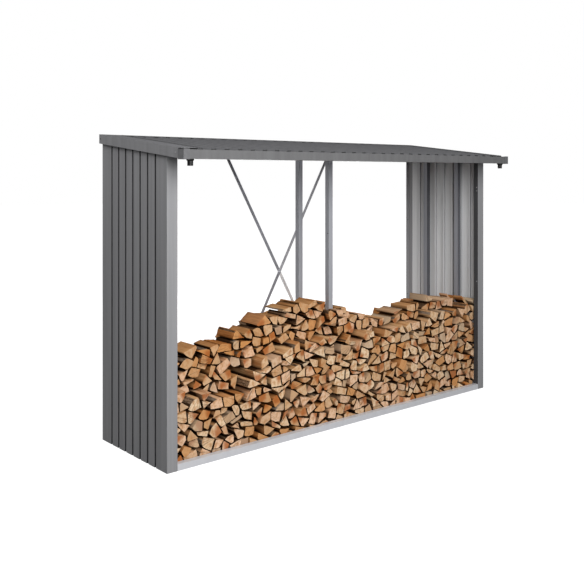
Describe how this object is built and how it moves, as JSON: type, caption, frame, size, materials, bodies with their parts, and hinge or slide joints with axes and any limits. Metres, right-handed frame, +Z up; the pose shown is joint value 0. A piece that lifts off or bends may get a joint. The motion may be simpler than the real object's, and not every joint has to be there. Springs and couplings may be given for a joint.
{
  "type": "log store",
  "caption": "Open-fronted lean-to log store with grooved metal side walls, ribbed roof, front gutter, cross-braced rear and stacked split firewood.",
  "frame": {"origin": "On the ground, in the middle of the plan of the roof.", "axes": "+X runs along the front to the right, +Y from the open front to the rear, +Z up."},
  "size_m": [3.02, 1.02, 1.99],
  "materials": {
    "wall_paint": "satin grey paint",
    "roof_paint": "satin grey paint",
    "bare_metal": "dull bare metal",
    "grey_plastic": "moulded matt plastic",
    "black_plastic": "moulded matt plastic",
    "firewood": "split, dry, unplaned"
  },
  "bodies": {
    "root": {"back_logs_1": "firewood", "back_logs_2": "firewood", "back_logs_3": "firewood", "back_logs_4": "firewood", "base_front_rail": "bare_metal", "base_left_rail": "bare_metal", "base_rear_rail": "bare_metal", "base_right_rail": "bare_metal", "brace_inner_strap": "bare_metal", "brace_outer_strap": "bare_metal", "centre_front_post": "bare_metal", "centre_rafter": "bare_metal", "centre_rear_post": "bare_metal", "front_logs_1": "firewood", "front_logs_2": "firewood", "front_logs_3": "firewood", "front_logs_4": "firewood", "front_purlins": "bare_metal", "left_front_post": "wall_paint", "left_gutter": "wall_paint", "left_gutter_cap": "grey_plastic", "left_outlet": "black_plastic", "left_rafter": "bare_metal", "left_rear_post": "wall_paint", "left_verge_trim": "wall_paint", "left_wall_front_panel": "wall_paint", "left_wall_rear_panel": "wall_paint", "left_wall_studs": "bare_metal", "rear_top_rail": "bare_metal", "rear_trim": "wall_paint", "right_front_post": "wall_paint", "right_gutter": "wall_paint", "right_gutter_cap": "grey_plastic", "right_outlet": "black_plastic", "right_rafter": "bare_metal", "right_rear_post": "wall_paint", "right_verge_trim": "wall_paint", "right_wall_front_panel": "wall_paint", "right_wall_rear_panel": "wall_paint", "right_wall_studs": "bare_metal", "roof_panel_1": "roof_paint", "roof_panel_2": "roof_paint", "roof_panel_3": "roof_paint", "roof_panel_4": "roof_paint"}
  },
  "joints": []
}
